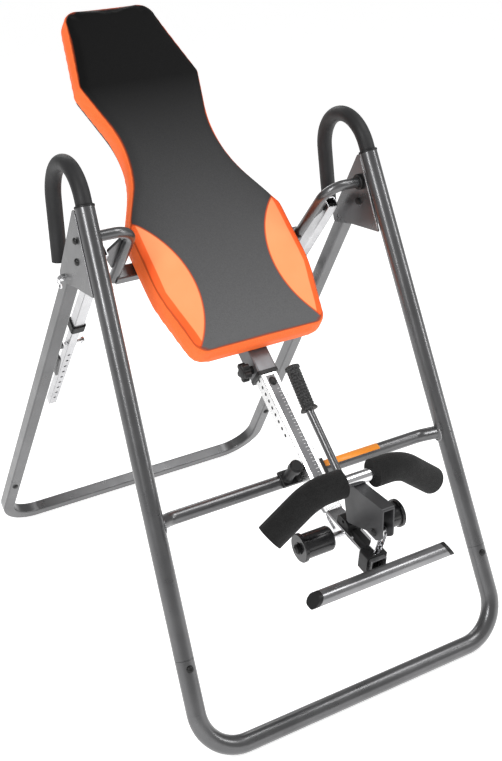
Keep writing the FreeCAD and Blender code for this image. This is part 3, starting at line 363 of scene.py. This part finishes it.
# ---------------------------------------------------------------- backrest cushion
VOXEL = 0.0055
SWELL_LIMIT = 0.0035
SEAM_DEPTH = 0.0022
SEAM_SPREAD = 0.006
CLOTH_FRAMES = 20


def backrest():
    """The cushion: the CAD solid remeshed, swelled as cloth and eased at the rim."""
    source = nodes["backrest_cushion"]
    mesh = source.data.copy()
    mesh.transform(BED.inverted() @ source.matrix_world)
    obj = bpy.data.objects.new("backrest_cover", mesh)
    bpy.context.scene.collection.objects.link(obj)
    remesh = obj.modifiers.new("remesh", "REMESH")
    remesh.mode = "VOXEL"
    remesh.voxel_size = VOXEL
    bpy.context.view_layer.objects.active = obj
    obj.select_set(True)
    bpy.ops.object.modifier_apply(modifier="remesh")
    rest = [v.co.copy() for v in obj.data.vertices]
    swell(obj, rest)
    mesh = obj.data
    for vertex, start in zip(mesh.vertices, rest):
        move = vertex.co - start
        if move.length > SWELL_LIMIT:
            vertex.co = start + move * (SWELL_LIMIT / move.length)
    sink_seams(mesh)
    smooth = obj.modifiers.new("smooth", "SMOOTH")
    smooth.iterations = 3
    bpy.ops.object.modifier_apply(modifier="smooth")
    for face in mesh.polygons:
        face.use_smooth = True
    soften = obj.modifiers.new("soften", "SUBSURF")
    soften.levels = 1
    soften.render_levels = 1
    give(obj, backrest_vinyl())
    obj.matrix_world = BED
    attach(obj, "bed")
    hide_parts("backrest_cushion")
    return obj


def swell(obj, rest):
    """A short cloth run: the cover pushes outward while its underside is held to the board."""
    held = obj.vertex_groups.new(name="held")
    low = min(v.z for v in rest)
    held.add([i for i, v in enumerate(rest) if v.z < low + 0.02], 1.0, "REPLACE")
    cloth = obj.modifiers.new("cloth", "CLOTH")
    settings = cloth.settings
    settings.vertex_group_mass = "held"
    settings.use_pressure = True
    settings.uniform_pressure_force = 2.0
    settings.mass = 0.3
    settings.tension_stiffness = 25
    settings.compression_stiffness = 25
    settings.bending_stiffness = 2.0
    settings.quality = 4
    settings.effector_weights.gravity = 0
    cloth.collision_settings.use_collision = False
    cloth.point_cache.frame_start = 1
    cloth.point_cache.frame_end = CLOTH_FRAMES
    scene = bpy.context.scene
    for number in range(1, CLOTH_FRAMES + 1):
        scene.frame_set(number)
    bpy.context.view_layer.objects.active = obj
    bpy.ops.object.modifier_apply(modifier="cloth")
    scene.frame_set(1)


def sink_seams(mesh):
    """Dips the top along the curved seams of the side panels."""
    for vertex in mesh.vertices:
        x, along, off = vertex.co
        if off < SIDE_BAND:
            continue
        distance = math.hypot(abs(x) - PANEL_CENTRE[0], along - PANEL_CENTRE[1])
        dip = math.exp(-((distance - PANEL_RADIUS) / SEAM_SPREAD) ** 2)
        vertex.co.z -= SEAM_DEPTH * dip


# ---------------------------------------------------------------- trim
def crossbar_strip():
    """The orange strip that wraps the upper front of the crossbar."""
    low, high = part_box("crossbar")
    radius = CROSSBAR_RADIUS + 0.00015
    centre_y = high.y - CROSSBAR_RADIUS
    centre_z = low.z + CROSSBAR_RADIUS
    verts = []
    faces = []
    steps = 14
    for i in range(steps + 1):
        angle = math.radians(35 + 120 * i / steps)
        for x in (0.024, 0.190):
            verts.append((x, centre_y - radius * math.cos(angle), centre_z + radius * math.sin(angle)))
    for i in range(steps):
        faces.append((2 * i, 2 * i + 1, 2 * i + 3, 2 * i + 2))
    obj = new_piece("crossbar_strip", verts, faces, orange_plastic(), "front_frame")
    thick = obj.modifiers.new("thick", "SOLIDIFY")
    thick.thickness = 0.0006
    thick.offset = 1
    return obj


def flat_patch(name, x0, x1, u0, u1, height, material, body="height_slide"):
    """A thin film on the height tube's top face, in bed coordinates."""
    verts = []
    for lift in (0.0, 0.0004):
        for x, u in ((x0, u0), (x1, u0), (x1, u1), (x0, u1)):
            verts.append(BED @ Vector((x, u, height + lift)))
    faces = [(3, 2, 1, 0), (4, 5, 6, 7), (0, 1, 5, 4), (1, 2, 6, 5), (2, 3, 7, 6), (3, 0, 4, 7)]
    return new_piece(name, verts, faces, material, body, smooth=False)


TUBE_TOP = -0.1755


def weld_material():
    shade = speckled("weld_bead", (0.20, 0.20, 0.205), (0.30, 0.30, 0.305), 0.25, 0.4, 0.8, 500, 0.2)
    return shade.material


def bead_row(name, start, end, radius, body, material):
    """A weld: a rod from start to end whose thickness swells once per bead."""
    way = (end - start).normalized()
    side = way.orthogonal().normalized()
    other = way.cross(side)
    length = (end - start).length
    pitch = 0.0045
    rings = int(length / pitch * 4)
    around = 10
    verts = []
    for i in range(rings + 1):
        along = length * i / rings
        swell_by = radius * (0.72 + 0.28 * abs(math.sin(math.pi * along / pitch)))
        centre = start + way * along
        for j in range(around):
            angle = math.tau * j / around
            verts.append(centre + (side * math.cos(angle) + other * math.sin(angle)) * swell_by)
    faces = [(i * around + j, i * around + (j + 1) % around, (i + 1) * around + (j + 1) % around,
              (i + 1) * around + j) for i in range(rings) for j in range(around)]
    faces.append(tuple(reversed(range(around))))
    faces.append(tuple(rings * around + j for j in range(around)))
    return new_piece(name, verts, faces, material, body)


def leg_point(side, height, out, back):
    """A point beside a front leg's axis: out across X, back behind the axis."""
    x = LEG_HALF_BASE - LEG_NARROWING * (height - LEG_RADIUS)
    y = LEG_LEAN * (height - LEG_RADIUS) - ORIGIN_BACK
    return Vector((side * (x + out), y + back, height))


def bracket_welds():
    """Weld beads where the outer (leaning) and inner (upright) cheek plates meet the leg."""
    material = weld_material()
    weld_low, weld_high, bead = 0.868, 1.012, 0.0021
    for side, name in ((-1, "left"), (1, "right")):
        low = leg_point(side, weld_low, 0.0192, 0.0085)
        high = leg_point(side, weld_high, 0.0192, 0.0085)
        bead_row(f"bracket_weld_{name}_outer", low, high, bead, "front_frame", material)
        low = leg_point(side, weld_low, 0, 0.0090)
        high = leg_point(side, weld_high, 0, 0.0105)
        low.x = side * UPRIGHT_CHEEK
        high.x = side * UPRIGHT_CHEEK
        bead_row(f"bracket_weld_{name}_inner", low, high, bead, "front_frame", material)


def crossbar_welds():
    """A ring of weld where each end of the crossbar meets its leg."""
    material = weld_material()
    low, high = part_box("crossbar")
    middle_z = (low.z + high.z) / 2 + 0.004
    for side, name in ((-1, "left"), (1, "right")):
        centre = leg_point(side, middle_z, -0.0175, 0.003)
        verts = []
        faces = []
        around, tube = 48, 8
        for i in range(around):
            angle = math.tau * i / around
            swell_by = 0.0022 * (0.75 + 0.25 * math.sin(angle * 16))
            for j in range(tube):
                turn = math.tau * j / tube
                reach = 0.0142 + swell_by * math.cos(turn)
                verts.append(centre + Vector((side * swell_by * math.sin(turn), reach * math.cos(angle),
                                              reach * math.sin(angle))))
        for i in range(around):
            for j in range(tube):
                a, b = i * tube + j, i * tube + (j + 1) % tube
                c, d = ((i + 1) % around) * tube + (j + 1) % tube, ((i + 1) % around) * tube + j
                faces.append((a, b, c, d))
        new_piece(f"crossbar_weld_{name}", verts, faces, material, "front_frame")


def painted_shade_strip():
    """Painted shade: dark strips just inside the height tube's side walls, so that its holes look deep and
    shadowed.
    """
    # The rubber material serves here only as painted shade inside the holes; the real rubber is the rest
    # bumper.
    material = rubber_and_painted_shade()
    for side, name in ((-1, "left"), (1, "right")):
        verts = []
        for x in (0.0160, 0.0167):
            for u, off in ((-0.59, -0.208), (-0.26, -0.208), (-0.26, -0.180), (-0.59, -0.180)):
                verts.append(BED @ Vector((side * x, u, off)))
        faces = [(0, 1, 2, 3), (7, 6, 5, 4), (0, 4, 5, 1), (1, 5, 6, 2), (2, 6, 7, 3), (3, 7, 4, 0)]
        new_piece(f"painted_shade_strip_{name}", verts, faces, material, "height_slide", smooth=False)


def tube_button():
    """The dark spring button on the height tube's top face, near the box."""
    verts = []
    faces = []
    around = 32
    rings = ((0.0075, 0.0), (0.0075, 0.0012), (0.006, 0.0024), (0.003, 0.003))
    for radius, lift in rings:
        for i in range(around):
            angle = math.tau * i / around
            verts.append(BED @ Vector((radius * math.cos(angle), -0.315 + 1.3 * radius * math.sin(angle),
                                       TUBE_TOP + 0.0005 + lift)))
    for k in range(len(rings) - 1):
        for i in range(around):
            j = (i + 1) % around
            faces.append((k * around + i, k * around + j, (k + 1) * around + j, (k + 1) * around + i))
    faces.append(tuple((len(rings) - 1) * around + i for i in range(around)))
    faces.append(tuple(reversed(range(around))))
    new_piece("tube_button", verts, faces, black_plastic(), "height_slide")


def height_scale():
    """A height scale on the tube: dark film, plain ticks and an end mark."""
    film = scale_film()
    tick = tick_film()
    half_film = 0.0105
    film_level = TUBE_TOP + 0.00005
    tick_level = TUBE_TOP + 0.0005
    tick_pitch = 0.0081
    half_tick = 0.0006
    flat_patch("height_scale", -half_film, half_film, -0.555, -0.300, film_level, film)
    for i in range(27):
        u = -0.334 - tick_pitch * i
        reach = 0.0095 if i % 2 else 0.006
        flat_patch(f"scale_tick_{i}", 0.002, reach, u - half_tick, u + half_tick, tick_level, tick)
    flat_patch("scale_end_mark", -half_film, half_film, -0.590, -0.572, film_level, orange_plastic())


# ---------------------------------------------------------------- stage and camera
def stage():
    bpy.ops.mesh.primitive_plane_add(size=80, location=(0, 10, -0.0005))
    floor = bpy.context.object
    floor.name = "floor"
    shade = Shader("floor_white")
    shade.color(shade.mix(shade.noise(2), (0.93, 0.93, 0.93), (0.95, 0.95, 0.95)))
    shade.set(Roughness=0.85, Emission_Color=(1, 1, 1, 1), Emission_Strength=0.6)
    give(floor, shade.material)


def area(name, location, target, size, energy, color=(1, 1, 1)):
    lamp = bpy.data.lights.new(name, "AREA")
    lamp.shape = "RECTANGLE"
    lamp.size, lamp.size_y = size
    lamp.energy = energy
    lamp.color = color
    obj = bpy.data.objects.new(name, lamp)
    bpy.context.scene.collection.objects.link(obj)
    obj.location = location
    obj.rotation_euler = (Vector(target) - Vector(location)).to_track_quat("-Z", "Y").to_euler()


def lights():
    world = bpy.data.worlds.new("studio")
    bpy.context.scene.world = world
    world.use_nodes = True
    world.node_tree.nodes["Background"].inputs[0].default_value = (1, 1, 1, 1)
    world.node_tree.nodes["Background"].inputs[1].default_value = 0.42
    area("key", (-2.4, -1.9, 2.6), (0, 0, 0.7), (0.5, 2.2), 70)
    area("right", (2.6, -2.2, 1.8), (0, 0, 0.7), (0.4, 2.2), 34)
    area("top", (1.3, -1.1, 3.3), (0, -0.1, 0.8), (1.2, 1.2), 34)
    area("back", (0.6, 3.2, 2.6), (0, 0, 0.8), (2.0, 1.2), 26)


def camera():
    lens = bpy.data.cameras.new("camera")
    lens.sensor_fit = "VERTICAL"
    lens.sensor_height = 36
    lens.lens = 53.859
    lens.clip_end = 200
    obj = bpy.data.objects.new("camera", lens)
    bpy.context.scene.collection.objects.link(obj)
    obj.location = (-1.04206, -1.6025 - ORIGIN_BACK, 1.5248)
    obj.rotation_euler = (math.radians(67.2023), math.radians(4.1166), math.radians(-29.415))
    bpy.context.scene.camera = obj


def plain_colours():
    bpy.context.scene.view_settings.view_transform = "Standard"


dress_nodes()
backrest()
crossbar_strip()
height_scale()
painted_shade_strip()
tube_button()
bracket_welds()
crossbar_welds()
stage()
lights()
camera()
plain_colours()
